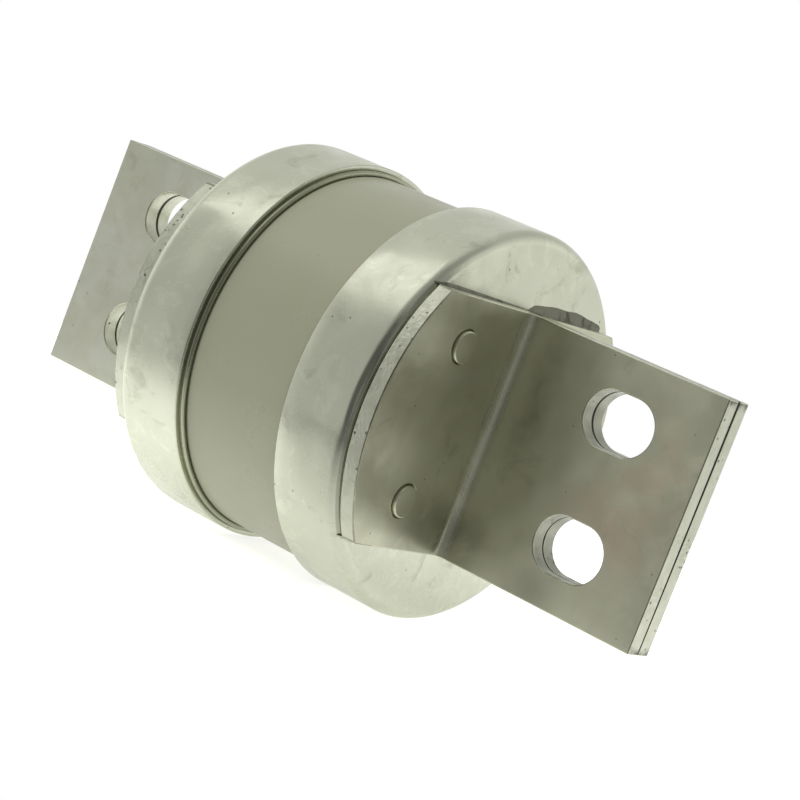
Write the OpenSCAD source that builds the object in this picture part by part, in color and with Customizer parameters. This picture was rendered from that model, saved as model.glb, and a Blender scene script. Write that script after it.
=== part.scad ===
// Bolted tag fuse: a ceramic barrel between nested drawn caps, with laminated, cranked bolt-on tags.
// Millimetres. X runs along the fuse, Y goes through the tag blades and Z across their width.
// The origin is the middle of the fuse. Blades meet face to face at y = 0.

/* [Overall] */
// Distance between the bolt holes of the two tags
fixing_centres = 149; // [145:0.5:160]
// Overall length over the tags
overall_l = 198.5; // [196:0.5:215]
// Length over the flat ends of the outer caps
caps_l = 74.3; // [70:0.1:84]

/* [Tags] */
// Width of a tag
tag_w = 62.2; // [56:0.1:66]
// Thickness of one of the two plates in a tag
plate_t = 4.5; // [3:0.1:5]
// Inside radius of the bend between blade and foot
bend_r = 3; // [1.5:0.1:4]
// Radius of the arc that ends a long foot
long_foot_r = 49.2; // [44:0.1:49.5]
// Radius of the arc that ends the short foot of the left tag
left_short_foot_r = 46.7; // [42:0.1:49.5]
// Radius of the arc that ends the short foot of the right tag
right_short_foot_r = 45.2; // [42:0.1:49.5]
// Rounding that the punch leaves along a foot's arc, at the cap
punch_roll_r = 0.7; // [0.2:0.1:1.5]

/* [Bolt slots] */
// Distance between the two slots across a tag
slot_pitch = 31.5; // [28:0.1:34]
// Width of a slot
slot_w = 14; // [11:0.1:17]
// Length of a slot, end to end, along the fuse
slot_l = 19.5; // [18:0.1:24]

/* [Rivets] */
// Distance of a rivet from the blade joint
rivet_y = 26; // [23:0.1:29]
// Distance between the two rivets of a foot
rivet_pitch = 38.4; // [32:0.1:42]
// Diameter of a rivet shank
rivet_d = 6; // [4:0.1:7]
// Depth of a rivet's countersunk head inside the cap
rivet_sink = 1; // [0.5:0.1:1.1]
// Diameter of a rivet head
rivet_head_d = 8; // [7.5:0.1:9.5]
// Height of a rivet head over the foot
rivet_head_h = 0.8; // [0.4:0.1:1.5]
// Depth that a rivet head is let into the foot
rivet_seat_depth = 0.6; // [0.3:0.1:1.2]
// Gap round a rivet head in its seat
rivet_seat_gap = 0.25; // [0.1:0.05:0.5]
// Rounding of a rivet head's edge
rivet_edge_r = 0.4; // [0.2:0.05:0.6]

/* [Outer caps] */
// Outside diameter of an outer cap
cap_d = 99.5; // [99.4:0.1:104]
// Length of an outer cap
cap_depth = 20.5; // [16:0.1:24]
// Thickness of an outer cap's side wall
cap_wall = 1.25; // [0.8:0.05:1.6]
// Thickness of an outer cap's flat end
cap_end_t = 1.8; // [1.2:0.1:2.5]
// Outside radius of an outer cap's shoulder
cap_shoulder_r = 3; // [2.4:0.1:5]
// Rounding of an outer cap's lip
cap_lip_r = 0.6; // [0.2:0.05:0.75]

/* [Inner caps] */
// Thickness of an inner cap's wall
inner_wall = 1.2; // [0.8:0.05:1.6]
// Outside radius of an inner cap's shoulder
inner_shoulder_r = 2.6; // [2:0.1:4]
// Length of inner cap that shows past the outer cap's lip
inner_lip = 1.3; // [0.5:0.1:3]
// Rounding of an inner cap's lip
inner_lip_r = 0.5; // [0.2:0.05:0.75]

/* [Barrel] */
// Wall thickness of the ceramic barrel
barrel_wall = 12.3; // [9:0.1:14]
// Chamfer at the barrel's ends
barrel_chamfer = 1.5; // [0.5:0.1:2.5]
// Thickness of a fibre washer
washer_t = 1; // [0.5:0.1:2]
// Gap between a fibre washer and the wall of the inner cap
washer_gap = 0.3; // [0.1:0.1:0.6]

/* [Fuse elements] */
// Number of fuse elements
element_count = 8; // [4:1:8]
// Width of an element strip
element_w = 12; // [8:0.1:13]
// Thickness of an element strip
element_t = 0.4; // [0.2:0.05:0.6]
// Distance from the bore's wall to the inner face of a strip
element_bore_gap = 13; // [9:0.1:14]
// Length of the folded tail of an element
element_tail = 6; // [4:0.1:8]
// Clearance round an element in its slot through the inner cap
element_clearance = 0.1; // [0.05:0.05:0.2]
// Diameter of the holes that notch an element
notch_d = 2.4; // [1.6:0.1:2.8]
// Number of holes across an element at each notch
notch_holes = 3; // [2:1:3]
// Number of notches on each half of an element
notch_rows = 2; // [1:1:3]
// Distance between two notches
notch_pitch = 11; // [8:0.1:13]
// Width of the tin deposit along an element
tin_l = 4; // [2:0.1:6]
// Height of the tin deposit
tin_t = 0.8; // [0.4:0.1:1.2]

/* [Filling hole] */
// Diameter of the sand filling hole in the right inner cap
fill_hole_d = 14; // [8:0.1:20]
// Width of the plug's flange outside the hole
plug_flange_w = 2.5; // [1.5:0.1:4]

/* [Braze] */
// Height of the braze in the groove between the bends
braze_h = 3; // [1:0.1:5]
// Width of the braze fillet along the straight sides of the feet
fillet_w = 1.5; // [0.5:0.1:2]

/* [Hidden] */
$fn = 96;
over = 1;
least_hollow_r = 0.3;
cap_x = caps_l / 2;
end_x = overall_l / 2;
lip_x = cap_x - cap_depth;
cap_r = cap_d / 2;
inner_r = cap_r - cap_wall;
barrel_r = inner_r - inner_wall;
bore_r = barrel_r - barrel_wall;
outer_end_x = cap_x - cap_end_t;
inner_end_x = outer_end_x - element_t;
inner_face_x = inner_end_x - inner_wall;
barrel_end_x = inner_face_x - washer_t;
bend_out_r = bend_r + plate_t;
foot_face_x = cap_x + plate_t;
element_r = bore_r - element_bore_gap;
element_mid_r = element_r + element_t / 2;

tin_metal = [0.79, 0.80, 0.73];
tag_metal = [0.55, 0.56, 0.49];
copper_metal = [0.72, 0.45, 0.30];
ceramic_glaze = [0.60, 0.60, 0.51];

// Turns what is modelled at the right end about Z, to stand at the left end
module at_end(side) {
  rotate([0, 0, side == "left" ? 180 : 0]) children();
}

// Turns a half profile, with the radius along X and the fuse axis along Y, about the fuse axis
module spin_on_axis() {
  rotate([0, 90, 0]) rotate_extrude() children();
}

// Half profile of a tube along the axis, from one axial place to another
module tube_profile(r_in, r_out, from, to) {
  translate([r_in, from]) square([r_out - r_in, to - from]);
}

// Square corner less a quarter disc, which rounds a convex corner at the origin when it is cut away
module corner_cut(r) {
  difference() {
    translate([-r, -r]) square(r + over);
    translate([-r, -r]) circle(r = r);
  }
}

// Half profile of a drawn cup: open towards the fuse's middle, flat at the end
module cup_profile(r_out, wall, end_t, from, to, shoulder, lip) {
  hollow_shoulder = max(shoulder - wall, least_hollow_r);
  difference() {
    tube_profile(0, r_out, from, to);
    translate([r_out, to]) corner_cut(shoulder);
    translate([r_out, from]) mirror([0, 1]) corner_cut(lip);
    difference() {
      tube_profile(-over, r_out - wall, from - over, to - end_t);
      translate([r_out - wall, to - end_t]) corner_cut(hollow_shoulder);
    }
  }
}

// Ceramic tube with chamfered ends
module barrel() {
  color(ceramic_glaze)
    spin_on_axis()
      difference() {
        tube_profile(bore_r, barrel_r, -barrel_end_x, barrel_end_x);
        for (end = [-1, 1])
          translate([barrel_r, end * barrel_end_x])
            rotate(45)
              square(barrel_chamfer * sqrt(2), center = true);
      }
}

// Drawn outer cap with a flat end, a rounded shoulder and countersunk holes for the four rivets
module outer_cap(side) {
  color(tin_metal)
    at_end(side)
      difference() {
        spin_on_axis()
          cup_profile(cap_r, cap_wall, cap_end_t, lip_x, cap_x, cap_shoulder_r, cap_lip_r);
        at_rivets() rotate_extrude() shank_profile(over);
      }
}

// Drawn inner cap with a slot for each element, and at the right end the filling hole
module inner_cap(side) {
  color(tin_metal)
    at_end(side)
      difference() {
        spin_on_axis()
          cup_profile(
            inner_r, inner_wall, inner_wall, lip_x - inner_lip, inner_end_x, inner_shoulder_r, inner_lip_r
          );
        at_elements()
          translate([inner_face_x - over, 0, element_mid_r])
            slot_block(inner_wall + 2 * over);
        if (side == "right")
          translate([inner_face_x - over, 0, 0])
            rotate([0, 90, 0])
              cylinder(d = fill_hole_d, h = inner_wall + 2 * over);
      }
}

// Block that cuts the slot of one element
module slot_block(depth) {
  translate([0, -element_w / 2 - element_clearance, -element_t / 2 - element_clearance])
    cube([depth, element_w + 2 * element_clearance, element_t + 2 * element_clearance]);
}

// Side view of one plate at the right end: the blade's back is at y = 0 and the foot points to -Y
module plate_profile() {
  blade_l = end_x - cap_x;
  foot_l = cap_r;
  difference() {
    translate([cap_x, -foot_l]) square([blade_l, foot_l]);
    translate([foot_face_x + bend_r, -foot_l - over]) square([blade_l, foot_l + over - plate_t]);
    translate([foot_face_x, -foot_l - over]) square([blade_l, foot_l + over - plate_t - bend_r]);
    translate([foot_face_x + bend_r, -plate_t - bend_r]) circle(r = bend_r);
    translate([cap_x, 0]) mirror([1, 0]) corner_cut(bend_out_r);
  }
}

// One slot through a blade, along X
module bolt_slot() {
  straight = slot_l - slot_w;
  depth = 2 * (plate_t + over);
  rotate([90, 0, 0]) {
    for (end = [-1, 1])
      translate([end * straight / 2, 0, 0]) cylinder(d = slot_w, h = depth, center = true);
    cube([straight, slot_w, depth], center = true);
  }
}

// Places its child on the four rivet axes of the right end, with the cap's end face as the zero plane
module at_rivets() {
  for (y = [-1, 1], z = [-1, 1])
    translate([cap_x, y * rivet_y, z * rivet_pitch / 2])
      rotate([0, 90, 0])
        children();
}

// Half profile of the disc that a foot is cut to, rounded at the cap as the punch leaves it
module foot_disc_profile(foot_r) {
  difference() {
    tube_profile(0, foot_r, cap_x, end_x + over);
    translate([foot_r, cap_x]) mirror([0, 1]) corner_cut(punch_roll_r);
  }
}

// One cranked plate at the right end, with its foot cut to an arc, two bolt slots and two rivet seats
module tag_plate(foot_r) {
  color(tag_metal)
    difference() {
      intersection() {
        linear_extrude(height = tag_w, center = true) plate_profile();
        spin_on_axis() foot_disc_profile(foot_r);
      }
      for (z = [-1, 1])
        translate([fixing_centres / 2, 0, z * slot_pitch / 2]) bolt_slot();
      at_rivets() {
        translate([0, 0, -over]) cylinder(d = rivet_d, h = plate_t + 2 * over);
        translate([0, 0, plate_t - rivet_seat_depth])
          cylinder(d = rivet_head_d + 2 * rivet_seat_gap, h = rivet_seat_depth + over);
      }
    }
}

// The same plate turned over, so that its foot points to +Y
module turned_plate(foot_r) {
  mirror([0, 1, 0]) tag_plate(foot_r);
}

// Half profile of a rivet's shank, from its countersunk head inside the cap to a height over the cap
module shank_profile(top) {
  head_r = rivet_d / 2 + rivet_sink;
  translate([0, -cap_end_t]) {
    square([rivet_d / 2, cap_end_t + top]);
    polygon([[0, 0], [head_r, 0], [rivet_d / 2, rivet_sink], [0, rivet_sink]]);
  }
}

// Half profile of a rivet along its axis, from the cap's inner face to the rounded head
module rivet_profile() {
  top = plate_t + rivet_head_h;
  seat = plate_t - rivet_seat_depth;
  shank_profile(seat);
  difference() {
    translate([0, seat]) square([rivet_head_d / 2, top - seat]);
    translate([rivet_head_d / 2, top]) corner_cut(rivet_edge_r);
  }
}

// The four rivets of one end
module rivets(side) {
  color(tag_metal)
    at_end(side)
      at_rivets() rotate_extrude() rivet_profile();
}

// Half length of the chord that a line at a height z cuts from a circle
function half_chord(r, z) = sqrt(r * r - z * z);

// Braze fillet along the upper side of a foot that points to -Y, as far as the cap's end is flat
module side_fillet(foot_r) {
  foot_reach = half_chord(foot_r, tag_w / 2);
  flat_reach = half_chord(cap_r - cap_shoulder_r, tag_w / 2 + fillet_w);
  translate([cap_x, 0, tag_w / 2])
    rotate([90, 0, 0])
      linear_extrude(height = min(foot_reach, flat_reach))
        polygon([[0, 0], [fillet_w, 0], [0, fillet_w]]);
}

// Filler in the groove between the two bends and the cap's end
module groove_filler() {
  linear_extrude(height = tag_w, center = true)
    difference() {
      translate([cap_x, -bend_out_r]) square([braze_h, 2 * bend_out_r]);
      for (y = [-1, 1])
        translate([cap_x + bend_out_r, y * bend_out_r]) circle(r = bend_out_r);
    }
}

// The braze of one end: the groove's filler and the fillets above and below the feet
module braze(side) {
  short_foot_r = side == "left" ? left_short_foot_r : right_short_foot_r;
  color(tin_metal)
    at_end(side) {
      groove_filler();
      for (below = [0, 1])
        mirror([0, 0, below]) {
          side_fillet(long_foot_r);
          mirror([0, 1, 0]) side_fillet(short_foot_r);
        }
    }
}

// Fibre ring between the barrel's end and the inner cap
module washer(side) {
  color("gainsboro")
    at_end(side)
      spin_on_axis()
        tube_profile(bore_r, barrel_r - inner_shoulder_r - washer_gap, barrel_end_x, inner_face_x);
}

// Plug with a thin flange in the filling hole
module filler_plug() {
  color(tin_metal)
    spin_on_axis() {
      tube_profile(0, fill_hole_d / 2, inner_face_x, outer_end_x);
      tube_profile(0, fill_hole_d / 2 + plug_flange_w, inner_end_x, outer_end_x);
    }
}

// Turns its child to each element's place round the axis
module at_elements() {
  for (i = [0 : element_count - 1])
    rotate([i * 360 / element_count, 0, 0]) children();
}

// The strip of an element at the top of its circle, whole, with both tails folded outwards
module element_blank() {
  translate([-outer_end_x, -element_w / 2, element_r])
    cube([2 * outer_end_x, element_w, element_t]);
  for (end = [0, 1])
    mirror([end, 0, 0])
      translate([inner_end_x, -element_w / 2, element_r])
        cube([element_t, element_w, element_t + element_tail]);
}

// The rows of holes and edge notches along an element
module element_holes() {
  hole_pitch = element_w / notch_holes;
  for (row = [1 : notch_rows], end = [-1, 1], hole = [0 : notch_holes])
    translate([end * (row - 0.5) * notch_pitch, hole * hole_pitch - element_w / 2, element_r - over])
      cylinder(d = notch_d, h = element_t + 2 * over);
}

// One notched strip
module element(number) {
  color(copper_metal)
    rotate([(number - 1) * 360 / element_count, 0, 0])
      difference() {
        element_blank();
        element_holes();
      }
}

// Bar of tin across the middle of an element, on its outer face
module tin_bar() {
  translate([-tin_l / 2, -element_w / 2, element_r + element_t])
    cube([tin_l, element_w, tin_t]);
}

// The tin bars of all elements
module tin_deposits() {
  color("silver") at_elements() tin_bar();
}

// Packed quartz sand in the bore, with room for the elements and their tin
module sand_fill() {
  color("khaki")
    difference() {
      spin_on_axis() tube_profile(0, bore_r, -inner_face_x, inner_face_x);
      at_elements() {
        difference() {
          element_blank();
          element_holes();
        }
        tin_bar();
      }
    }
}

barrel();
outer_cap("left");  // outer_cap_left
outer_cap("right");  // outer_cap_right
inner_cap("left");  // inner_cap_left
inner_cap("right");  // inner_cap_right
at_end("left") turned_plate(left_short_foot_r);  // tag_front_left
at_end("left") tag_plate(long_foot_r);  // tag_rear_left
tag_plate(long_foot_r);  // tag_front_right
turned_plate(right_short_foot_r);  // tag_rear_right
rivets("left");  // rivets_left
rivets("right");  // rivets_right
braze("left");  // braze_left
braze("right");  // braze_right
washer("left");  // washer_left
washer("right");  // washer_right
filler_plug();
sand_fill();
for (number = [1 : element_count])
  element(number);
tin_deposits();
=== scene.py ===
"""Bolted tag fuse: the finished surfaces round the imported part, in metres and in the part's own frame."""

from math import acos, cos, hypot, pi, radians, sin

import bmesh
import bpy
from bpy.props import FloatProperty, FloatVectorProperty, IntProperty, PointerProperty
from bpy.types import Operator, Panel, PropertyGroup
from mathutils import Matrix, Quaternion, Vector, noise


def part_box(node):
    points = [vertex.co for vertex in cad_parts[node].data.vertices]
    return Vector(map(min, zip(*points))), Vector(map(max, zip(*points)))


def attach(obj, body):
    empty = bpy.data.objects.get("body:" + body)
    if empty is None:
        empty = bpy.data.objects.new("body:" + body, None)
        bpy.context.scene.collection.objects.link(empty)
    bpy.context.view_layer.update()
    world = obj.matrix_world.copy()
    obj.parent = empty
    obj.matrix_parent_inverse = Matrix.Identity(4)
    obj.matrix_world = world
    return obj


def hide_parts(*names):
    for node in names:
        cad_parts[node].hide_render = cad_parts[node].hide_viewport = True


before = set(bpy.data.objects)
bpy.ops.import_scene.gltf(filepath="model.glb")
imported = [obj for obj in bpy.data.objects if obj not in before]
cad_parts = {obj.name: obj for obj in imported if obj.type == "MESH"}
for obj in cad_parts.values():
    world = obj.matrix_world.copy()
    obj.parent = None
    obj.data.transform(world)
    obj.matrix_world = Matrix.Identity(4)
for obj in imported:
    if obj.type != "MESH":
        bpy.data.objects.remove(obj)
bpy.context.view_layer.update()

bl_info = {
    "name": "Bolted tag fuse",
    "version": (1, 0, 0),
    "blender": (4, 5, 0),
    "location": "3D View > Sidebar > Tag fuse",
    "description": "Makes the surfaces and finishes of a bolted tag fuse, and its studio",
    "category": "Object",
}

MM = 0.001
NEAR = 0.01 * MM
MERGE = 0.001 * MM
SIDES = ("left", "right")

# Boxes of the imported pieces
BARREL_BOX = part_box("barrel")
CAP_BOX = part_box("outer_cap_right")
INNER_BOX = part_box("inner_cap_right")
TAG_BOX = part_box("tag_front_right")

# Sizes that the materials share with the pieces
CAP_SHOULDER = 3.0 * MM
PLATE = 4.5 * MM
BEND = 7.5 * MM
FLAT_RADIUS = CAP_BOX[1].y - CAP_SHOULDER
TAG_HALF = TAG_BOX[1].z
LONG_FOOT = -TAG_BOX[0].y
SHORT_FOOT = {"left": -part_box("tag_front_left")[0].y, "right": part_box("tag_rear_right")[1].y}

# Places along the fuse, from its middle
CAP_LIP = CAP_BOX[0].x
CAP_FACE = CAP_BOX[1].x
FOOT_FACE = CAP_FACE + PLATE
BEND_END = CAP_FACE + BEND
BOLT = 74.5 * MM
TAG_END = TAG_BOX[1].x
FLOOR_Z = min(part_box(node)[0].z for node in ("outer_cap_left", "outer_cap_right"))

# The larger marks on the right tag: place along the fuse that each is measured from, then its middle and its
# reach in millimetres
MARKS = {
    "thin tin": (BOLT, (10.5, -4.5, 1.0), (20.0, 20.0, 24.0)),
    "stain at the slot": (BOLT, (-6.5, -4.5, -29.0), (13.0, 12.0, 10.0)),
    "stain at the bend": (BEND_END, (-0.15, -14.0, -27.0), (14.0, 19.0, 15.0)),
    "streak": (BEND_END, (6.85, -4.5, 13.0), (6.5, 12.0, 24.0)),
    "film on the foot": (FOOT_FACE, (0.05, -43.0, -12.0), (20.0, 14.0, 15.0)),
}

# Finishes inside the fuse: name, two tones, grain, how metallic and how rough
HIDDEN = {
    "washer": ("fibre_board", (0.45, 0.38, 0.28), (0.36, 0.29, 0.20), 2.0 * MM, 0.0, 0.8),
    "sand": ("quartz_sand", (0.62, 0.55, 0.42), (0.42, 0.36, 0.27), 0.6 * MM, 0.0, 0.85),
    "element": ("element_strip", (0.72, 0.45, 0.30), (0.60, 0.36, 0.24), 4.0 * MM, 1.0, 0.25),
}


def length(name, description, default):
    """A size that shows in the scene's units"""
    return FloatProperty(
        name=name, description=description, default=default, min=0.0, unit="LENGTH", subtype="DISTANCE",
        precision=5,
    )


def angle(name, description, degrees):
    """An angle that shows in degrees"""
    return FloatProperty(
        name=name, description=description, default=radians(degrees), unit="ROTATION", subtype="ANGLE"
    )


def place(name, description, default):
    """A place in the fuse's own frame"""
    return FloatVectorProperty(
        name=name, description=description, default=default, unit="LENGTH", subtype="TRANSLATION", precision=5
    )


def level(name, description, default):
    """A brightness, with white as 1"""
    return FloatProperty(name=name, description=description, default=default, min=0.0)


def colour(name, description, default):
    """A plain colour"""
    return FloatVectorProperty(
        name=name, description=description, default=default, size=3, min=0.0, max=1.0, subtype="COLOR"
    )


class FuseSizes(PropertyGroup):
    """Sizes of the finished pieces"""

    bore_radius: length("Bore radius", "Radius of the barrel's bore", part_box("sand_fill")[1].y)
    barrel_chamfer: length("Barrel chamfer", "Chamfer at the barrel's ends", 1.5 * MM)
    barrel_softness: length("Barrel softness", "Rounding of the barrel's edges", 0.25 * MM)
    cap_wall: length("Cap wall", "Thickness of an outer cap's side wall", 1.25 * MM)
    cap_end: length("Cap end", "Thickness of an outer cap's flat end", 1.8 * MM)
    cap_shoulder: length("Cap shoulder", "Outside radius of an outer cap's shoulder", CAP_SHOULDER)
    cap_lip: length("Cap lip", "Rounding of an outer cap's lip", 0.35 * MM)
    inner_wall: length("Inner cap wall", "Thickness of an inner cap's wall", 1.2 * MM)
    inner_shoulder: length("Inner cap shoulder", "Outside radius of an inner cap's shoulder", 2.6 * MM)
    inner_lip: length("Inner cap lip", "Rounding of an inner cap's lip", 0.5 * MM)
    plate_thickness: length("Plate thickness", "Thickness of one plate of a tag", PLATE)
    edge_softness: length("Edge softness", "Rounding along a plate's cut edges", 0.28 * MM)
    joint_softness: length("Joint softness", "Rounding where the two plates of a blade meet", 0.42 * MM)
    corner_softness: length("Corner softness", "Rounding at the ends of a foot's arc", 0.7 * MM)
    punch_roll: length("Punch roll", "Rounding of the packed plates along a foot's arc, at the cap", 0.7 * MM)
    bend_outside: length("Bend outside", "Outside radius of a plate's bend", BEND)
    rivet_softness: length("Rivet softness", "Rounding of a rivet's edges", 0.12 * MM)
    groove_height: length("Groove filler", "Height of the solder between the bends", 3.0 * MM)
    bead_height: length("Solder height", "Height of the solder along the edges of a foot", 0.75 * MM)
    bead_width: length("Solder bead", "Width of the solder along the edges of a foot", 0.85 * MM)
    wide_bead_width: length("Wide solder bead", "Width of the solder along the rear right foot", 2.8 * MM)
    turned_segments: IntProperty(
        name="Segments", description="Facets round a turned piece", default=192, min=48, max=360
    )


class FuseColours(PropertyGroup):
    """Colours of the finishes and of the studio"""

    tin: colour("Tin", "Tinned metal of the caps", (0.645, 0.668, 0.535))
    dull_tin: colour("Dull tin", "Smudged and tarnished tin", (0.40, 0.415, 0.305))
    tag: colour("Tag", "Tinned face of the right tag", (0.615, 0.625, 0.472))
    left_tag: colour("Left tag", "Cleaner tin of the left tag", (0.645, 0.66, 0.555))
    copper: colour("Copper", "Copper that shows through thin tin", (0.60, 0.42, 0.32))
    tarnish: colour("Tarnish", "Brown tarnish on the faces of the tags", (0.57, 0.545, 0.42))
    sheared: colour("Sheared edge", "Cut edge of a plate", (0.64, 0.655, 0.535))
    ceramic: colour("Ceramic", "Glaze of the barrel", (0.285, 0.293, 0.205))
    solder: colour("Solder", "Solder beads", (0.56, 0.56, 0.47))
    # Darker solder along the upper edges of the feet
    dull_solder: colour("Dull solder", "Solder with burnt flux", (0.155, 0.155, 0.115))
    # Dark colour of flux, specks, pits and joints, also used for painted shade in crevices, inside the slots
    # and along the arcs of the feet
    dirt: colour("Dirt", "Flux and dirt in corners", (0.06, 0.058, 0.042))
    floor: colour("Floor", "Floor of the studio", (0.85, 0.85, 0.85))
    room: colour("Room", "Room that the metal mirrors", (1.0, 1.0, 0.98))


class FuseStudio(PropertyGroup):
    """The camera, the lamps and the floor"""

    azimuth: angle("Azimuth", "Turn of the camera from the front towards the right tag", 35.6275)
    elevation: angle("Elevation", "Height of the camera as an angle", 5.97)
    roll: angle("Roll", "Lean of the camera about its own line of sight", 21.2518)
    distance: length("Distance", "From the camera to the place that it aims at", 0.6365)
    aim: place("Aim", "Place that the camera aims at", (0.00776, 0.0053, -0.00231))
    lens: FloatProperty(
        name="Lens", description="Focal length on a 36 mm sensor", default=115.403, min=10.0, unit="CAMERA"
    )
    softbox: place("Softbox", "Middle of the softbox that the caps mirror", (-0.142, -0.150, 0.275))
    softbox_size: length("Softbox size", "Side of the square softbox", 0.18)
    softbox_level: level("Softbox level", "Brightness of the softbox's face", 0.6)
    fill: place("Fill", "Middle of the wide fill lamp, which lights the ceramic", (0.0, -0.45, 0.53))
    fill_size: length("Fill size", "Side of the square fill lamp", 0.6)
    fill_level: level("Fill level", "Brightness of the fill lamp's face", 3.0)
    floor_radius: length("Floor radius", "Radius of the pale floor", 0.26)
    floor_shift: length("Floor shift", "How far the floor's middle lies behind the fuse", 0.13)


class Nodes:
    """A node tree, with short calls for the nodes that the finishes and the surroundings share"""

    def __init__(self, tree, coordinates):
        self.tree = tree
        tree.nodes.clear()
        self.place = self.add("ShaderNodeTexCoord").outputs[coordinates]

    def add(self, kind, **settings):
        """Adds a node and sets its properties"""
        node = self.tree.nodes.new(kind)
        for key, value in settings.items():
            setattr(node, key, value)
        return node

    def feed(self, socket, value):
        """Links a socket to an output, or sets its value"""
        if isinstance(value, bpy.types.NodeSocket):
            self.tree.links.new(value, socket)
        elif socket.type == "RGBA":
            socket.default_value = (*value[:3], 1.0)
        else:
            socket.default_value = value

    def moved(self, shift=(0, 0, 0), stretch=(1, 1, 1)):
        """The coordinates, shifted and stretched"""
        mapping = self.add("ShaderNodeMapping", vector_type="TEXTURE")
        self.feed(mapping.inputs["Vector"], self.place)
        self.feed(mapping.inputs["Location"], shift)
        self.feed(mapping.inputs["Scale"], stretch)
        return mapping.outputs["Vector"]

    def noise(self, grain, detail=3.0, rough=0.5, warp=0.0, coords=None):
        """Noise with a grain of that many metres, from 0 to 1"""
        texture = self.add("ShaderNodeTexNoise")
        self.feed(texture.inputs["Vector"], coords or self.place)
        self.feed(texture.inputs["Scale"], 1.0 / grain)
        self.feed(texture.inputs["Detail"], detail)
        self.feed(texture.inputs["Roughness"], rough)
        self.feed(texture.inputs["Distortion"], warp)
        return texture.outputs["Fac"]

    def cells(self, grain):
        """Distance to the nearest of scattered points, in grains, with the points about a grain apart"""
        texture = self.add("ShaderNodeTexVoronoi")
        self.feed(texture.inputs["Vector"], self.place)
        self.feed(texture.inputs["Scale"], 1.0 / grain)
        return texture.outputs["Distance"]

    def mark(self, name):
        """1 in the middle of one of the tag's marks, falling to 0 at its reach"""
        start, middle, reach = MARKS[name]
        texture = self.add("ShaderNodeTexGradient", gradient_type="SPHERICAL")
        coords = self.moved(shift=Vector((start, 0.0, 0.0)) + Vector(middle) * MM, stretch=Vector(reach) * MM)
        self.feed(texture.inputs["Vector"], coords)
        return texture.outputs["Fac"]

    def side(self, axis):
        """Place along one axis"""
        parts = self.add("ShaderNodeSeparateXYZ")
        self.feed(parts.inputs["Vector"], self.place)
        return parts.outputs[axis]

    def off(self, axis):
        """Distance from the fuse's middle along one axis"""
        return self.sum("ABSOLUTE", self.side(axis), 0.0)

    def radius(self):
        """Distance from the fuse's axis, with what lies along the axis squeezed to almost nothing"""
        squeeze = 1000.0
        distance = self.add("ShaderNodeVectorMath", operation="LENGTH")
        self.feed(distance.inputs[0], self.moved(stretch=(squeeze, 1.0, 1.0)))
        return distance.outputs["Value"]

    def towards(self, azimuth, elevation):
        """Cosine of the angle between the coordinates and a direction in degrees"""
        dot = self.add("ShaderNodeVectorMath", operation="DOT_PRODUCT")
        self.feed(dot.inputs[0], self.place)
        self.feed(dot.inputs[1], direction(radians(azimuth), radians(elevation)))
        return dot.outputs["Value"]

    def step(self, value, start, end, low=0.0, high=1.0):
        """Smooth step of a value, from low at start to high at end"""
        ranged = self.add("ShaderNodeMapRange", interpolation_type="SMOOTHSTEP")
        for socket, given in zip(ranged.inputs, (value, start, end, low, high)):
            self.feed(socket, given)
        return ranged.outputs["Result"]

    def sum(self, kind, a, b):
        """Two values joined by a sum of that kind"""
        maths = self.add("ShaderNodeMath", operation=kind)
        self.feed(maths.inputs[0], a)
        self.feed(maths.inputs[1], b)
        return maths.outputs["Value"]

    def all_of(self, first, *others):
        """Product of several values"""
        for other in others:
            first = self.sum("MULTIPLY", first, other)
        return first

    def most_of(self, first, *others):
        """Largest of several values"""
        for other in others:
            first = self.sum("MAXIMUM", first, other)
        return first

    def blend(self, share, a, b):
        """Colour b laid over colour a by a share"""
        under, over, result = 6, 7, 2
        mix = self.add("ShaderNodeMix", data_type="RGBA")
        self.feed(mix.inputs["Factor"], share)
        self.feed(mix.inputs[under], a)
        self.feed(mix.inputs[over], b)
        return mix.outputs[result]

    def bump(self, height, depth, below=None):
        """A relief of that many metres on the surface, laid over another"""
        relief = self.add("ShaderNodeBump")
        self.feed(relief.inputs["Height"], height)
        self.feed(relief.inputs["Distance"], depth)
        if below:
            self.feed(relief.inputs["Normal"], below)
        return relief.outputs["Normal"]


class Finish(Nodes):
    """A material with its own node tree"""

    def __init__(self, name):
        self.material = bpy.data.materials.new(name)
        self.material.use_nodes = True
        super().__init__(self.material.node_tree, "Object")
        self.surface = self.add("ShaderNodeBsdfPrincipled")
        self.feed(self.add("ShaderNodeOutputMaterial").inputs["Surface"], self.surface.outputs["BSDF"])

    def coat(self, **values):
        """Sets the surface's own sockets"""
        for key, value in values.items():
            self.feed(self.surface.inputs[key.replace("_", " ").title().replace("Ior", "IOR")], value)
        return self.material


def direction(azimuth, elevation):
    """Way out from the fuse, turned from the front towards the right tag and then up"""
    return Vector((sin(azimuth) * cos(elevation), -cos(azimuth) * cos(elevation), sin(elevation)))


def shaded(tone, share):
    """A colour made darker or paler by a share"""
    return [min(share * part, 1.0) for part in tone]


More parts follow.
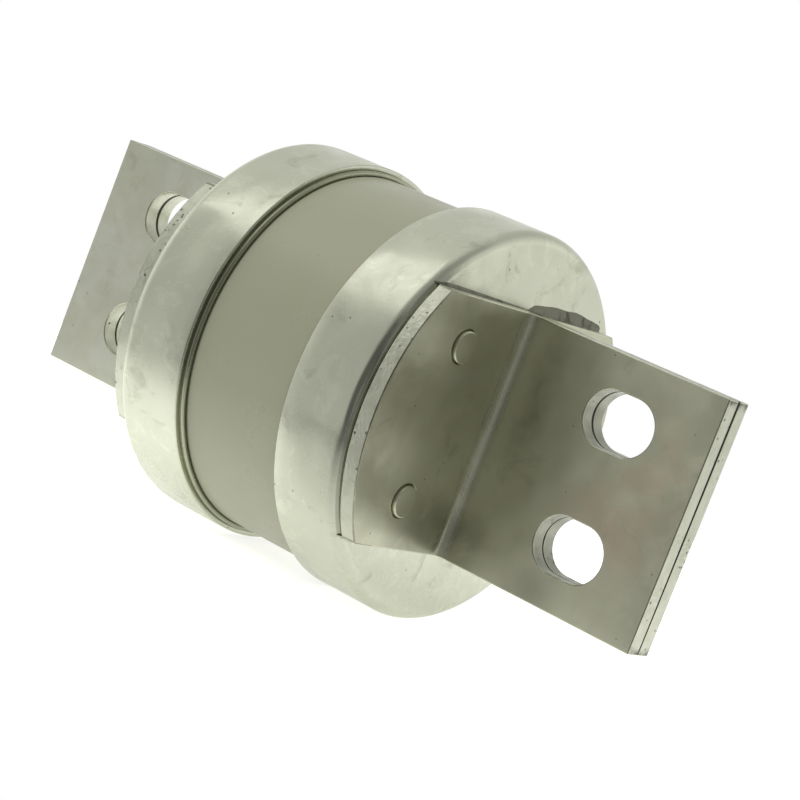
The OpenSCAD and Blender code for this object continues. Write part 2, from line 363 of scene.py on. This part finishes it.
def tin_skin(look, metal, colours, crevice):
    """Drawn metal with hot tin: soft waves, smears, smudges and a few pits, and painted shade in a crevice"""
    patch = look.step(look.noise(30.0 * MM, 3.0, 0.55, 0.6), 0.35, 0.7, 0.0, 0.35)
    smear = look.step(look.noise(8.0 * MM, 5.0, 0.65, 1.5), 0.54, 0.66, 0.0, 0.5)
    smudge = look.step(look.noise(11.0 * MM, 6.0, 0.62, 1.2), 0.56, 0.74, 0.0, 0.6)
    pits = look.all_of(
        look.step(look.cells(4.2 * MM), 0.08, 0.03), look.step(look.noise(12.0 * MM, 2.0), 0.52, 0.60)
    )
    base = look.blend(patch, metal, shaded(metal, 0.86))
    base = look.blend(smear, base, shaded(metal, 1.14))
    base = look.blend(smudge, base, colours.dull_tin)
    # Grime in the pits, and painted shade in the crevice that the caller gives
    base = look.blend(look.most_of(look.all_of(pits, 0.5), look.all_of(crevice, 0.4)), base, colours.dirt)
    dents = look.bump(look.noise(20.0 * MM, 1.0), 1.1 * MM)
    skin = look.bump(look.noise(3.0 * MM, 4.0, 0.55), 0.026 * MM, dents)
    holes = look.bump(look.all_of(pits, -1.0), 0.12 * MM, skin)
    rough = look.step(look.noise(8.0 * MM, 3.0), 0.3, 0.7, 0.19, 0.31)
    return look.coat(base_color=base, metallic=1.0, roughness=rough, normal=holes)


def tinned_cap(colours):
    """Outer cap, with painted shade on the shoulder, in the crevice beside the arc of the front foot"""
    look = Finish("tinned_cap")
    # Painted shade: the crevice between the shoulder and the arc of the front foot
    shoulder = look.step(look.off("X"), CAP_FACE - 1.4 * MM, CAP_FACE - 1.0 * MM)
    beside = look.step(look.off("Z"), TAG_HALF + 0.6 * MM, TAG_HALF - 0.4 * MM)
    front = look.step(look.side("Y"), -0.6 * FLAT_RADIUS, -0.7 * FLAT_RADIUS)
    return tin_skin(look, colours.tin, colours, look.all_of(shoulder, beside, front))


def tinned_ring(colours):
    """Inner cap, with painted shade where it goes under the outer cap's lip"""
    look = Finish("tinned_ring")
    # Painted shade under the outer cap's lip
    crevice = look.step(look.off("X"), CAP_LIP - 0.9 * MM, CAP_LIP - 0.35 * MM)
    return tin_skin(look, colours.dull_tin, colours, crevice)


def brown_rim(look):
    """Tarnish towards the free end of the right blade"""
    return look.all_of(
        look.step(look.side("X"), TAG_END - 10.25 * MM, TAG_END - 1.25 * MM),
        look.step(look.noise(7.0 * MM, 4.0, 0.6), 0.36, 0.56, 0.0, 0.35),
    )


def burnt_flux(look):
    """Stains at and beside the right tag's bend, below a slot and on the foot"""
    uneven = look.step(look.noise(7.0 * MM, 2.0, 0.5, 0.1), 0.25, 0.75, 0.35, 0.75)
    stains = look.most_of(
        look.mark("stain at the bend"), look.all_of(look.mark("stain at the slot"), 0.6),
        look.all_of(look.mark("streak"), uneven), look.all_of(look.mark("film on the foot"), 0.4),
    )
    return look.all_of(look.step(look.noise(8.0 * MM, 3.0, 0.5, 0.4), 0.1, 0.5), look.step(stains, 0.0, 0.6))


def tinned_plate(colours):
    """Face of a tag: satin tin with fine grain, thin places, flux, stains and specks"""
    look = Finish("tinned_plate")
    patch = look.step(look.noise(18.0 * MM, 4.0, 0.6, 0.8), 0.32, 0.72, 0.0, 0.4)
    tint = look.blend(look.step(look.side("X"), -50.0 * MM, 50.0 * MM), colours.left_tag, colours.tag)
    thin = look.all_of(
        look.step(look.noise(14.0 * MM, 5.0, 0.55, 0.6), 0.38, 0.68), look.mark("thin tin"), 0.8
    )
    tarnish = look.step(look.noise(6.0 * MM, 4.0, 0.6), 0.42, 0.64, 0.0, 0.4)
    bend = look.all_of(
        look.step(look.off("Y"), BEND + 0.5 * MM, BEND - 0.3 * MM),
        look.step(look.off("X"), BEND_END + 0.85 * MM, BEND_END - 1.15 * MM),
    )
    flux = look.most_of(
        look.step(look.noise(9.0 * MM, 6.0, 0.65, 1.0), 0.56, 0.76, 0.0, 0.55), brown_rim(look),
        look.all_of(bend, 0.25),
    )
    specks = look.all_of(
        look.step(look.cells(3.0 * MM), 0.10, 0.04), look.step(look.noise(10.0 * MM, 2.0), 0.53, 0.61), 0.75
    )
    base = look.blend(patch, tint, shaded(colours.tag, 0.80))
    base = look.blend(thin, base, colours.copper)
    base = look.blend(tarnish, base, colours.tarnish)
    base = look.blend(flux, base, colours.dull_tin)
    base = look.blend(look.most_of(specks, look.all_of(burnt_flux(look), 0.4)), base, colours.dirt)
    waves = look.bump(look.noise(16.0 * MM, 1.0), 0.40 * MM)
    grain = look.noise(0.7 * MM, 3.0, 0.6, 0.0, look.moved(stretch=(3.0, 1.0, 1.0)))
    satin = look.step(look.noise(7.0 * MM, 3.0), 0.3, 0.7, 0.29, 0.39)
    return look.coat(
        base_color=base, metallic=0.92, roughness=look.sum("SUBTRACT", satin, look.all_of(bend, 0.07)),
        normal=look.bump(grain, 0.008 * MM, waves),
    )


def joint_line(look):
    """Dark joint between the two plates of a blade, wider towards the top and uneven"""
    rise = look.sum("ADD", look.side("Z"), look.all_of(look.noise(10.0 * MM), 40.0 * MM))
    gap = look.step(rise, -15.0 * MM, 55.0 * MM, 0.36 * MM, 0.75 * MM)
    return look.step(look.sum("DIVIDE", look.off("Y"), gap), 1.0, 0.5, 0.0, 0.9)


def sheared_edge(colours):
    """Cut edge of a plate under tin: smooth, torn and speckled in places, with painted shade on the walls of
    the slots and grime at the corners
    """
    look = Finish("sheared_edge")
    foot_top = look.all_of(
        look.step(look.off("X"), FOOT_FACE + 1.35 * MM, FOOT_FACE + 0.15 * MM),
        look.step(look.side("Z"), -5.0 * MM, 22.0 * MM, 0.0, 0.8),
    )
    torn = look.most_of(look.step(look.noise(7.0 * MM, 2.0), 0.50, 0.62), foot_top)
    specks = look.all_of(look.step(look.cells(1.8 * MM), 0.26, 0.12), torn, 0.85)
    # Painted shade on the cut walls inside the slots
    slots = look.all_of(
        look.step(look.side("X"), BOLT - 14.5 * MM, BOLT - 10.5 * MM),
        look.step(look.side("X"), BOLT + 15.5 * MM, BOLT + 13.5 * MM),
        look.step(look.off("Z"), TAG_HALF - 3.1 * MM, TAG_HALF - 5.1 * MM), 0.5,
    )
    corners = look.all_of(
        look.step(look.off("X"), TAG_END - 1.75 * MM, TAG_END - 0.25 * MM),
        look.step(look.off("Z"), TAG_HALF - 2.6 * MM, TAG_HALF - 0.2 * MM),
        look.step(look.noise(3.0 * MM, 3.0), 0.35, 0.6, 0.3, 1.0), 0.8,
    )
    dull = look.step(look.noise(4.0 * MM, 4.0, 0.6), 0.4, 0.75, 0.0, 0.35)
    base = look.blend(dull, colours.sheared, colours.dull_tin)
    for share in (specks, look.most_of(slots, corners), joint_line(look)):
        base = look.blend(share, base, colours.dirt)
    dents = look.bump(look.noise(1.5 * MM, 4.0, 0.6), look.all_of(torn, 0.30 * MM))
    return look.coat(
        base_color=base, metallic=1.0, roughness=look.step(look.noise(3.0 * MM, 4.0), 0.3, 0.7, 0.28, 0.42),
        normal=look.bump(look.noise(0.9 * MM, 4.0, 0.6), 0.06 * MM, dents),
    )


def worn_edge(colours):
    """Rounded edge of a plate: tin that ran smooth, with painted shade along the arc of a foot, where it
    meets the cap
    """
    look = Finish("worn_edge")
    patch = look.noise(4.0 * MM, 4.0, 0.6)
    arc_start = min(SHORT_FOOT.values()) - 1.2 * MM
    # Painted shade on the punch's rounding along the foot's arc, in the crevice at the cap
    arc = look.all_of(
        look.step(look.radius(), arc_start, arc_start + 0.6 * MM),
        look.step(look.noise(5.0 * MM), 0.35, 0.6, 0.15, 0.5),
    )
    base = look.blend(look.step(patch, 0.35, 0.75, 0.0, 0.5), colours.tag, colours.dull_tin)
    base = look.blend(look.most_of(arc, joint_line(look)), base, colours.dirt)
    return look.coat(
        base_color=base, metallic=1.0, roughness=look.step(patch, 0.3, 0.7, 0.14, 0.26),
        normal=look.bump(look.noise(2.0 * MM, 3.0), 0.03 * MM),
    )


def glazed_ceramic(colours):
    """Smooth, half matt glaze with faint clouds and a few fine specks, darker in a narrow ring beside the
    caps
    """
    look = Finish("glazed_ceramic")
    warmer = (0.97, 0.93, 0.88)
    cloud = look.step(look.noise(35.0 * MM, 3.0, 0.5, 0.4), 0.3, 0.75, 0.0, 0.5)
    faded = [part * share for part, share in zip(colours.ceramic, warmer)]
    specks = look.step(look.cells(3.4 * MM), 0.05, 0.02, 0.0, 0.35)
    lip = INNER_BOX[0].x
    # Darker in a narrow ring beside the inner caps' lips
    dark_ring_by_caps = look.step(look.off("X"), lip - 0.55 * MM, lip - 0.1 * MM, 0.0, 0.9)
    base = look.blend(look.most_of(specks, dark_ring_by_caps), look.blend(cloud, colours.ceramic, faded), colours.dirt)
    return look.coat(
        base_color=base, roughness=look.step(look.noise(10.0 * MM, 3.0), 0.3, 0.7, 0.27, 0.36), ior=1.52,
        normal=look.bump(look.noise(4.0 * MM, 3.0, 0.5), 0.03 * MM),
    )


def soldered(colours):
    """Solder: dull and darker along the upper edges, brighter below, with specks of flux"""
    look = Finish("soldered")
    # Darker towards the top, brighter towards the bottom
    upper = look.step(look.side("Z"), -10.0 * MM, 10.0 * MM)
    flux = look.step(look.noise(4.0 * MM, 4.0, 0.6, 0.8), 0.50, 0.68)
    base = look.blend(upper, colours.solder, colours.dull_solder)
    return look.coat(
        base_color=look.blend(look.all_of(flux, 0.4), base, colours.dirt), metallic=0.95,
        roughness=look.step(flux, 0.0, 1.0, 0.28, 0.5),
        normal=look.bump(look.noise(3.0 * MM, 2.0), 0.06 * MM),
    )


def hidden_finish(name, base, other, grain, metallic, rough):
    """Plain two-tone finish of a piece inside the fuse"""
    look = Finish(name)
    mottle = look.noise(grain, 4.0, 0.6)
    return look.coat(
        base_color=look.blend(look.step(mottle, 0.35, 0.65), base, other), metallic=metallic,
        roughness=look.step(mottle, 0.3, 0.7, rough, min(rough + 0.15, 1.0)),
        normal=look.bump(mottle, grain * 0.05),
    )


def finish(maker, *values):
    """The finish of that maker, made once. Values start with the finish's name, where there are any"""
    name = values[0] if values else maker.__name__
    return bpy.data.materials.get(name) or maker(*(values or (bpy.context.scene.fuse_colours,)))


def piece(bm, name, slot, materials, *nodes):
    """Writes a bmesh to a new piece of the fuse, which stands for those nodes"""
    mesh = bpy.data.meshes.new(name)
    bm.to_mesh(mesh)
    bm.free()
    mesh.shade_smooth()
    made = bpy.data.objects.new(name, mesh)
    bpy.context.scene.collection.objects.link(made)
    for material in materials:
        mesh.materials.append(material)
    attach(made, "root")
    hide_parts(*nodes)
    return made


def soften(made, width, segments, limit="ANGLE"):
    """Rounds a piece's sharp edges, or those that carry a weight, and evens the shading of its faces"""
    bevel = made.modifiers.new("rounded edges", "BEVEL")
    bevel.width = width
    bevel.segments = segments
    bevel.limit_method = limit
    bevel.angle_limit = radians(34)
    bevel.miter_outer = "MITER_ARC"
    bevel.use_clamp_overlap = limit == "ANGLE"
    bevel.material = len(made.data.materials) - 1
    even = made.modifiers.new("even shading", "WEIGHTED_NORMAL")
    even.keep_sharp = True


def turned(profile, segments, closed=True):
    """Spins a half profile of (x, radius) places about the fuse's axis"""
    bm = bmesh.new()
    verts = [bm.verts.new((x, radius, 0.0)) for x, radius in profile]
    ends = verts[1:] + verts[:1] if closed else verts[1:]
    edges = [bm.edges.new(pair) for pair in zip(verts, ends)]
    bmesh.ops.spin(
        bm, geom=verts + edges, cent=(0, 0, 0), axis=(1, 0, 0), angle=2 * pi, steps=segments, use_merge=True
    )
    bmesh.ops.remove_doubles(bm, verts=bm.verts, dist=MERGE)
    bmesh.ops.recalc_face_normals(bm, faces=bm.faces)
    return bm


def round_ring(bm, x, radius, width, segments):
    """Rounds the ring of edges at that place of a turned piece"""
    ring = [
        e for e in bm.edges
        if all(abs(v.co.x - x) < NEAR and abs(hypot(v.co.y, v.co.z) - radius) < NEAR for v in e.verts)
    ]
    bmesh.ops.bevel(
        bm, geom=ring, affect="EDGES", offset=width, offset_type="OFFSET", segments=segments, profile=0.5,
        material=-1,
    )


def faced_left(bm, side):
    """Turns what is modelled at the right end to the left end, where that is its side"""
    if side == "left":
        half_turn = Quaternion((0, 0, 1), pi).to_matrix()
        bmesh.ops.rotate(bm, verts=bm.verts, cent=(0, 0, 0), matrix=half_turn)


def cup(box, wall, end_wall, shoulder, lip, segments):
    """Drawn cup that fills a box at the right end: flat end, rounded shoulder, open towards the middle"""
    end_x, lip_x, radius = box[1].x, box[0].x, box[1].y
    inner, inner_end = radius - wall, end_x - end_wall
    rows = 6
    outside = [(end_x + (lip_x - end_x) * row / rows, radius) for row in range(rows + 1)]
    bm = turned(
        [(end_x, 0.0), (end_x, radius / 2), *outside, (lip_x, inner), (inner_end, inner), (inner_end, 0.0)],
        segments, closed=False,
    )
    round_ring(bm, end_x, radius, shoulder, segments=10)
    round_ring(bm, inner_end, inner, max(shoulder - wall, wall * 0.4), segments=4)
    round_ring(bm, lip_x, radius, lip, segments=4)
    round_ring(bm, lip_x, inner, lip / 2, segments=2)
    return bm


class FUSE_OT_barrel(Operator):
    """Makes the ceramic barrel"""

    bl_idname = "fuse.barrel"
    bl_label = "Ceramic barrel"

    def execute(self, context):
        sizes = context.scene.fuse_sizes
        half, outside, bore = BARREL_BOX[1].x, BARREL_BOX[1].y, sizes.bore_radius
        bm = turned([(-half, bore), (-half, outside), (half, outside), (half, bore)], sizes.turned_segments)
        for end in (-half, half):
            round_ring(bm, end, outside, sizes.barrel_chamfer, segments=1)
        made = piece(bm, "barrel_glazed", "ceramic", [finish(glazed_ceramic)], "barrel")
        soften(made, sizes.barrel_softness, 2)
        return {"FINISHED"}


class FUSE_OT_outer_caps(Operator):
    """Makes the two drawn outer caps"""

    bl_idname = "fuse.outer_caps"
    bl_label = "Outer caps"

    def execute(self, context):
        sizes = context.scene.fuse_sizes
        for side in SIDES:
            bm = cup(
                CAP_BOX, sizes.cap_wall, sizes.cap_end, sizes.cap_shoulder, sizes.cap_lip,
                sizes.turned_segments,
            )
            faced_left(bm, side)
            node = "outer_cap_" + side
            made = piece(bm, "outer_cap_drawn_" + side, "cap_metal", [finish(tinned_cap)], node)
            made.data.set_sharp_from_angle(angle=radians(40))
        return {"FINISHED"}


class FUSE_OT_inner_caps(Operator):
    """Makes the two inner caps, whose lips show past the outer ones"""

    bl_idname = "fuse.inner_caps"
    bl_label = "Inner caps"

    def execute(self, context):
        sizes = context.scene.fuse_sizes
        for side in SIDES:
            bm = cup(
                INNER_BOX, sizes.inner_wall, sizes.inner_wall, sizes.inner_shoulder, sizes.inner_lip,
                sizes.turned_segments,
            )
            faced_left(bm, side)
            node = "inner_cap_" + side
            made = piece(bm, "inner_cap_drawn_" + side, "inner_cap_metal", [finish(tinned_ring)], node)
            made.data.set_sharp_from_angle(angle=radians(40))
        return {"FINISHED"}


def merged(node):
    """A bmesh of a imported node, with its loose triangles joined and its flat faces whole"""
    bm = bmesh.new()
    bm.from_mesh(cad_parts[node].data)
    bmesh.ops.remove_doubles(bm, verts=bm.verts, dist=MERGE)
    bmesh.ops.dissolve_limit(bm, angle_limit=radians(0.4), verts=bm.verts, edges=bm.edges)
    return bm


class FUSE_OT_tags(Operator):
    """Makes the four cranked plates of the tags, with cut faces of their own finish and soft edges"""

    bl_idname = "fuse.tags"
    bl_label = "Tag plates"

    def finish_number(self, face, foot_radius, sizes):
        """0 for a rolled face, 1 for a cut one, and 2 for the punch's rounding along the arc of the foot"""
        centre, normal = face.calc_center_median(), face.normal
        square, flat, cut = 0.1, 0.995, 0.3
        rim = hypot(centre.y, centre.z) > foot_radius - sizes.punch_roll
        if rim and square < abs(normal.x) < flat:
            return 2
        slotted = abs(centre.x) > BOLT - 11.25 * MM and abs(centre.y) < sizes.plate_thickness
        return int(
            (rim and abs(normal.x) < square) or abs(normal.z) > cut or (slotted and abs(normal.y) < square)
        )

    def rounding(self, edge, foot_radius, sizes):
        """Rounding of an edge. Blunt ones, those of the bend and those on the cap get none"""
        if len(edge.link_faces) < 2 or edge.calc_face_angle() < radians(28):
            return 0.0
        places = [v.co for v in edge.verts]
        bend = sizes.bend_outside
        if all(abs(hypot(abs(c.x) - CAP_FACE - bend, abs(c.y) - bend) - bend) < NEAR for c in places):
            return 0.0
        if all(abs(abs(c.x) - CAP_FACE) < sizes.punch_roll + NEAR for c in places):
            return 0.0
        if all(abs(c.y) < NEAR for c in places):
            return sizes.joint_softness
        if all(hypot(c.y, c.z) > foot_radius - NEAR and TAG_HALF - abs(c.z) < NEAR for c in places):
            return sizes.corner_softness
        return sizes.edge_softness

    def execute(self, context):
        sizes = context.scene.fuse_sizes
        for node in ("tag_front_left", "tag_rear_left", "tag_front_right", "tag_rear_right"):
            low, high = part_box(node)
            foot_radius = max(-low.y, high.y)
            bm = merged(node)
            for face in bm.faces:
                face.material_index = self.finish_number(face, foot_radius, sizes)
            weight = bm.edges.layers.float.new("bevel_weight_edge")
            for edge in bm.edges:
                edge[weight] = self.rounding(edge, foot_radius, sizes) / sizes.corner_softness
            finishes = [finish(tinned_plate), finish(sheared_edge), finish(worn_edge)]
            made = piece(bm, node.replace("tag", "plate"), "tag_metal", finishes, node)
            soften(made, sizes.corner_softness, 3, limit="WEIGHT")
        return {"FINISHED"}


class FUSE_OT_rivets(Operator):
    """Makes the rivets of both ends"""

    bl_idname = "fuse.rivets"
    bl_label = "Rivets"

    def execute(self, context):
        for side in SIDES:
            node = "rivets_" + side
            made = piece(merged(node), "rivet_set_" + side, "rivet_metal", [finish(tinned_plate)], node)
            soften(made, context.scene.fuse_sizes.rivet_softness, 2)
        return {"FINISHED"}


def fillet(corner, height, width, edge):
    """A hollow three-cornered outline in a bmesh of its own, sunk a little into both faces at a corner"""
    bm = bmesh.new()
    sunk = 0.15 * MM
    hollow = [(height * up, width * out) for up, out in ((0.62, 0.12), (0.36, 0.30), (0.16, 0.58))]
    outline = [(-sunk, -sunk), (height, -sunk), *hollow, (0.0, width), (-sunk, width)]
    verts = [bm.verts.new(corner + Vector((up, 0.0, edge * out))) for up, out in outline]
    edges = [bm.edges.new(pair) for pair in zip(verts, verts[1:] + verts[:1])]
    return bm, verts + edges


class FUSE_OT_solder(Operator):
    """Lays the solder in the groove between the bends and along the edges of the feet"""

    bl_idname = "fuse.solder"
    bl_label = "Solder"

    def groove(self, sizes):
        """Filler between the two bends of the right tag"""
        bm = bmesh.new()
        radius, steps = sizes.bend_outside, 8
        top = acos(1 - sizes.groove_height / radius)
        turns = [top * step / steps for step in range(steps + 1)]
        half = [(radius * (1 - cos(turn)), radius * (1 - sin(turn))) for turn in turns]
        outline = half + [(x, -y) for x, y in reversed(half)]
        face = bm.faces.new([bm.verts.new((CAP_FACE + x, y, -TAG_HALF)) for x, y in outline])
        made = bmesh.ops.extrude_face_region(bm, geom=[face], use_keep_orig=True)["geom"]
        verts = [v for v in made if isinstance(v, bmesh.types.BMVert)]
        bmesh.ops.translate(bm, verts=verts, vec=(0, 0, 2 * TAG_HALF))
        return bm

    def swell(self, y, share, foot, seed):
        """How far a bead swells at that share of its run: lumpy, thin at its start and its end"""
        lumps, grains, seed_shift = 150, 480, 7.1
        uneven = 1.0 + 0.15 * noise.noise(Vector((y * lumps, seed * seed_shift, 0.0)))
        uneven += 0.02 * noise.noise(Vector((y * grains, 0.0, seed)))
        if foot < 0:
            taper = 0.2 + 1.1 * share
        else:
            taper = (0.45 + 0.55 * sin(pi * share)) * min(0.35 + 12 * share, 1.0)
        return uneven * min(taper, 1.15, 0.3 + 9 * (1 - share))

    def straight(self, sizes, foot, edge, radius, width, seed):
        """Bead along a foot's straight edge. foot is -1 in front and 1 behind, and edge is 1 at the top"""
        start = Vector((CAP_FACE, 0.0, edge * TAG_HALF))
        run = foot * (radius ** 2 - TAG_HALF ** 2) ** 0.5
        steps = 110
        bm, outline = fillet(start, sizes.bead_height, width, edge)
        bmesh.ops.spin(
            bm, geom=outline, cent=(0, 0, 0), axis=(0, 1, 0), dvec=(0, run / steps, 0), angle=0.0, steps=steps
        )
        for v in bm.verts:
            corner = Vector((start.x, v.co.y, start.z))
            v.co = corner + (v.co - corner) * self.swell(v.co.y, v.co.y / run, foot, seed)
            past = min(max(hypot(v.co.y, v.co.z) - FLAT_RADIUS, 0.0), CAP_SHOULDER)
            low = min(max(1 - (v.co.x - start.x) / sizes.bead_height, 0.0), 1.0)
            v.co.x -= low * (CAP_SHOULDER - (CAP_SHOULDER ** 2 - past ** 2) ** 0.5)
        return bm

    def execute(self, context):
        sizes = context.scene.fuse_sizes
        for side in SIDES:
            parts = [self.groove(sizes)]
            for number, (foot, edge) in enumerate(((-1, 1), (-1, -1), (1, 1), (1, -1))):
                width = sizes.wide_bead_width if (side, foot, edge) == ("right", 1, 1) else sizes.bead_width
                radius = SHORT_FOOT[side] if foot > 0 else LONG_FOOT
                seed = number + 5 * SIDES.index(side)
                parts.append(self.straight(sizes, foot, edge, radius, width, seed))
            whole = bmesh.new()
            for bm in parts:
                mesh = bpy.data.meshes.new("bead")
                bm.to_mesh(mesh)
                bm.free()
                whole.from_mesh(mesh)
                bpy.data.meshes.remove(mesh)
            bmesh.ops.holes_fill(whole, edges=whole.edges, sides=0)
            faced_left(whole, side)
            bmesh.ops.recalc_face_normals(whole, faces=whole.faces)
            made = piece(whole, "solder_" + side, "braze_metal", [finish(soldered)], "braze_" + side)
            made.data.set_sharp_from_angle(angle=radians(50))
        return {"FINISHED"}


class FUSE_OT_insides(Operator):
    """Gives the pieces inside the fuse their finishes"""

    bl_idname = "fuse.insides"
    bl_label = "Inside pieces"

    def execute(self, context):
        colours = context.scene.fuse_colours
        looks = {part: finish(hidden_finish, *values) for part, values in HIDDEN.items()}
        looks["tin"] = finish(hidden_finish, "tin_bar", colours.solder, colours.dull_tin, 3.0 * MM, 1.0, 0.35)
        looks["filler"] = finish(tinned_cap)
        for name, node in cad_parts.items():
            if node.hide_render:
                continue
            node.data.materials.clear()
            node.data.materials.append(looks[name.split("_")[0]])
        return {"FINISHED"}


class FUSE_OT_studio(Operator):
    """Sets the floor, the lamps, the surroundings and the camera"""

    bl_idname = "fuse.studio"
    bl_label = "Studio"

    def floor_fade(self, look):
        """How bright the floor is where metal mirrors it: dim in front, above all at the right corner"""
        corner = look.all_of(
            look.step(look.side("X"), 70.0 * MM, 130.0 * MM, 0.0, 0.75),
            look.step(look.side("Y"), 0.0, -50.0 * MM),
        )
        left = look.step(look.side("X"), 20.0 * MM, -30.0 * MM)
        depth = look.sum("ADD", look.side("Y"), look.all_of(left, 22.0 * MM))
        return look.all_of(
            look.step(depth, -135.0 * MM, 0.0, 0.03, 1.07), look.sum("SUBTRACT", 1.0, corner),
            look.sum("ADD", 1.0, look.all_of(left, 0.12)),
            look.step(look.side("X"), -190.0 * MM, -110.0 * MM, 0.5, 1.0),
        )

    def floor(self, context):
        """Pale floor that keeps the shadow. The camera sees it white, and the metal sees it fade"""
        studio, pale = context.scene.fuse_studio, context.scene.fuse_colours.floor
        bm = bmesh.new()
        bmesh.ops.create_circle(bm, cap_ends=True, radius=studio.floor_radius, segments=96)
        bmesh.ops.translate(bm, verts=bm.verts, vec=(0.0, studio.floor_shift, FLOOR_Z))
        mesh = bpy.data.meshes.new("floor")
        bm.to_mesh(mesh)
        bm.free()
        look = Finish("pale_floor")
        rays = look.add("ShaderNodeLightPath").outputs
        mirrored = look.most_of(rays["Is Glossy Ray"], rays["Is Transmission Ray"])
        share = look.step(mirrored, 0.0, 1.0, 1.0, self.floor_fade(look))
        sheet = look.blend(look.noise(50.0 * MM), pale, shaded(pale, 0.96))
        glow = look.step(mirrored, 0.0, 1.0, 0.72, 0.47)
        look.coat(
            base_color=look.blend(share, (0.0, 0.0, 0.0), sheet), roughness=0.9,
            emission_color=(1.0, 1.0, 1.0), emission_strength=look.all_of(share, glow),
        )
        mesh.materials.append(look.material)
        made = bpy.data.objects.new("floor", mesh)
        context.scene.collection.objects.link(made)

    def lamp(self, context, name, middle, size, brightness):
        """Soft square lamp that points at the fuse. brightness is its face's, with white as 1"""
        data = bpy.data.lights.new(name, "AREA")
        data.shape = "SQUARE"
        data.size = size
        data.energy = brightness * pi * size ** 2
        made = bpy.data.objects.new(name, data)
        made.location = middle
        made.rotation_mode = "QUATERNION"
        made.rotation_quaternion = (-Vector(middle)).to_track_quat("-Z", "Y")
        made.visible_camera = False
        context.scene.collection.objects.link(made)
        return made

    def surroundings(self, context):
        """Room that the metal mirrors, dim in front and at the right, behind a white that the camera sees"""
        world = bpy.data.worlds.new("studio")
        world.use_nodes = True
        context.scene.world = world
        look = Nodes(world.node_tree, "Generated")
        front = look.step(look.towards(14, 3), 0.10, 0.65, 0.85, 0.52)
        dark = look.step(look.towards(16, 2), 0.70, 0.86, 1.0, 0.22)
        right = look.step(look.towards(93, 0), 0.74, 0.93, 1.0, 0.25)
        corner = look.step(look.towards(80, 58), 0.85, 0.97, 1.0, 0.65)
        above = look.step(look.towards(0, 90), 0.15, 0.75, 1.0, 0.68)
        behind = look.step(look.towards(140, 25), 0.85, 0.97, 1.0, 1.2)
        left = look.step(look.towards(-85, 45), 0.6, 0.95, 1.0, 1.2)
        near = look.step(look.towards(36, -6), 0.95, 0.99, 1.0, 1.9)
        room = look.add("ShaderNodeBackground")
        look.feed(room.inputs["Color"], context.scene.fuse_colours.room)
        look.feed(room.inputs["Strength"], look.all_of(front, dark, right, corner, above, behind, left, near))
        white = look.add("ShaderNodeBackground")
        look.feed(white.inputs["Color"], (1.0, 1.0, 1.0))
        mix = look.add("ShaderNodeMixShader")
        look.feed(mix.inputs["Fac"], look.add("ShaderNodeLightPath").outputs["Is Camera Ray"])
        look.feed(mix.inputs[1], room.outputs["Background"])
        look.feed(mix.inputs[2], white.outputs["Background"])
        look.feed(look.add("ShaderNodeOutputWorld").inputs["Surface"], mix.outputs["Shader"])

    def camera(self, context):
        """Camera at the fuse's front right, leaning to its left"""
        studio = context.scene.fuse_studio
        data = bpy.data.cameras.new("camera")
        data.sensor_width = 36.0
        data.lens = studio.lens
        data.clip_start, data.clip_end = 0.01, 20.0
        made = bpy.data.objects.new("camera", data)
        back = direction(studio.azimuth, studio.elevation)
        made.location = Vector(studio.aim) + back * studio.distance
        made.rotation_mode = "QUATERNION"
        made.rotation_quaternion = (-back).to_track_quat("-Z", "Y") @ Quaternion((0, 0, 1), studio.roll)
        context.scene.collection.objects.link(made)
        context.scene.camera = made

    def execute(self, context):
        studio = context.scene.fuse_studio
        self.floor(context)
        self.surroundings(context)
        self.lamp(context, "softbox", studio.softbox, studio.softbox_size, studio.softbox_level)
        fill = self.lamp(context, "fill", studio.fill, studio.fill_size, studio.fill_level)
        fill.visible_glossy = False
        self.camera(context)
        context.scene.view_settings.view_transform = "Standard"
        return {"FINISHED"}


class FUSE_PT_panel(Panel):
    """Lists the pieces of the fuse, and their sizes, colours and studio"""

    bl_idname = "FUSE_PT_panel"
    bl_label = "Bolted tag fuse"
    bl_space_type = "VIEW_3D"
    bl_region_type = "UI"
    bl_category = "Tag fuse"

    def draw(self, context):
        for operator in OPERATORS:
            self.layout.operator(operator.bl_idname)
        for group in ("fuse_sizes", "fuse_colours", "fuse_studio"):
            box = self.layout.box()
            values = getattr(context.scene, group)
            for name in values.__annotations__:
                box.prop(values, name)


OPERATORS = (
    FUSE_OT_barrel, FUSE_OT_outer_caps, FUSE_OT_inner_caps, FUSE_OT_tags, FUSE_OT_rivets, FUSE_OT_solder,
    FUSE_OT_insides, FUSE_OT_studio,
)
CLASSES = (FuseSizes, FuseColours, FuseStudio, *OPERATORS, FUSE_PT_panel)


def register():
    """Registers the classes and hangs the three groups of values on the scene"""
    for made in CLASSES:
        bpy.utils.register_class(made)
    bpy.types.Scene.fuse_sizes = PointerProperty(type=FuseSizes)
    bpy.types.Scene.fuse_colours = PointerProperty(type=FuseColours)
    bpy.types.Scene.fuse_studio = PointerProperty(type=FuseStudio)


def unregister():
    """Undoes what register did"""
    del bpy.types.Scene.fuse_studio
    del bpy.types.Scene.fuse_colours
    del bpy.types.Scene.fuse_sizes
    for made in reversed(CLASSES):
        bpy.utils.unregister_class(made)


def main():
    register()
    for operator in OPERATORS:
        group, name = operator.bl_idname.split(".")
        getattr(getattr(bpy.ops, group), name)()


if __name__ == "__main__":
    main()
